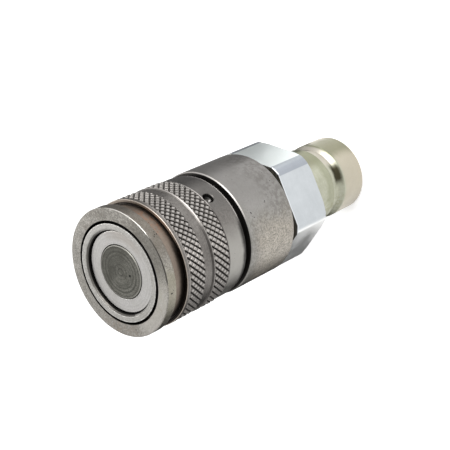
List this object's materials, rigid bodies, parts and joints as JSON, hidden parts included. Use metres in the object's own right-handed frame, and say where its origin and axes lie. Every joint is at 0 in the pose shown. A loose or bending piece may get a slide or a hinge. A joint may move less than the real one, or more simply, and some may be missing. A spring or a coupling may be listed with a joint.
{
  "type": "flat face hydraulic coupler",
  "caption": "Flat face quick coupler for oil lines: knurled locking sleeve and flush valve faces at one end, hexagon adaptor and male flat face nipple at the other.",
  "frame": {"origin": "on the coupler's axis, level with the nipple's flat end that it stands on", "axes": "+Z along the axis from the nipple's end to the female flat face; -Y is the side of the spanner flat shown in front; X completes a right-handed frame"},
  "size_m": [0.038, 0.038, 0.0996],
  "materials": {
    "ring_steel": "turned steel, lightly browned behind the band",
    "knurled_steel": "knurled and worn",
    "ball_steel": "polished",
    "cage_steel": "turned",
    "valve_steel": "satin",
    "stem_steel": "fine turned rings",
    "poppet_steel": "turned",
    "body_steel": "dark, worn and pitted",
    "zinc_plate": "bluish zinc plating",
    "yellow_plate": "pale yellow-green passivated zinc",
    "spring_steel": "plain",
    "seal_rubber": "matt",
    "backup_plastic": "matt"
  },
  "bodies": {
    "coupler_body": {"ball_cage": "cage_steel", "locking_ball_1": "ball_steel", "locking_ball_2": "ball_steel", "locking_ball_3": "ball_steel", "locking_ball_4": "ball_steel", "locking_ball_5": "ball_steel", "locking_ball_6": "ball_steel", "locking_ball_7": "ball_steel", "locking_ball_8": "ball_steel", "nose_seal": "seal_rubber", "nose_backup_ring": "backup_plastic", "rear_body": "body_steel", "body_seal": "seal_rubber", "stem_carrier": "spring_steel", "centre_stem": "stem_steel", "stem_nut": "zinc_plate", "stem_seal": "seal_rubber", "adaptor_seal": "seal_rubber", "hex_adaptor": "zinc_plate", "nipple_body": "yellow_plate", "nipple_seal": "seal_rubber", "nipple_valve_guide": "spring_steel", "guide_ring": "spring_steel", "valve_spring": "spring_steel", "nipple_valve_spring": "spring_steel"},
    "spring_seat": {"sleeve_spring_seat": "spring_steel", "sleeve_spring": "spring_steel"},
    "knurled_sleeve": {"nose_ring": "ring_steel", "locking_sleeve": "knurled_steel", "sleeve_retaining_ball": "ball_steel"},
    "female_valve": {"valve_sleeve": "valve_steel", "valve_sleeve_seal": "seal_rubber"},
    "nipple_poppet": {"nipple_valve": "poppet_steel", "nipple_valve_seal": "seal_rubber"}
  },
  "joints": [
    {"name": "sleeve_turn", "type": "hinge", "parent": "coupler_body", "child": "spring_seat", "pos_m": [0, 0, 0.0756], "axis": [0, 0, 1], "continuous": true},
    {"name": "sleeve_draw_back", "type": "slide", "parent": "spring_seat", "child": "knurled_sleeve", "axis": [0, 0, -1], "range_m": [0, 0.0015], "stiffness_N_per_m": 4000, "springref_m": -0.003, "deforming": ["sleeve_spring"]},
    {"name": "female_valve_slide", "type": "slide", "parent": "coupler_body", "child": "female_valve", "axis": [0, 0, -1], "range_m": [0, 0.0174], "stiffness_N_per_m": 1500, "springref_m": -0.006, "deforming": ["valve_spring"]},
    {"name": "nipple_valve_slide", "type": "slide", "parent": "coupler_body", "child": "nipple_poppet", "axis": [0, 0, 1], "range_m": [0, 0.0171], "stiffness_N_per_m": 1000, "springref_m": -0.005, "deforming": ["nipple_valve_spring"]}
  ]
}
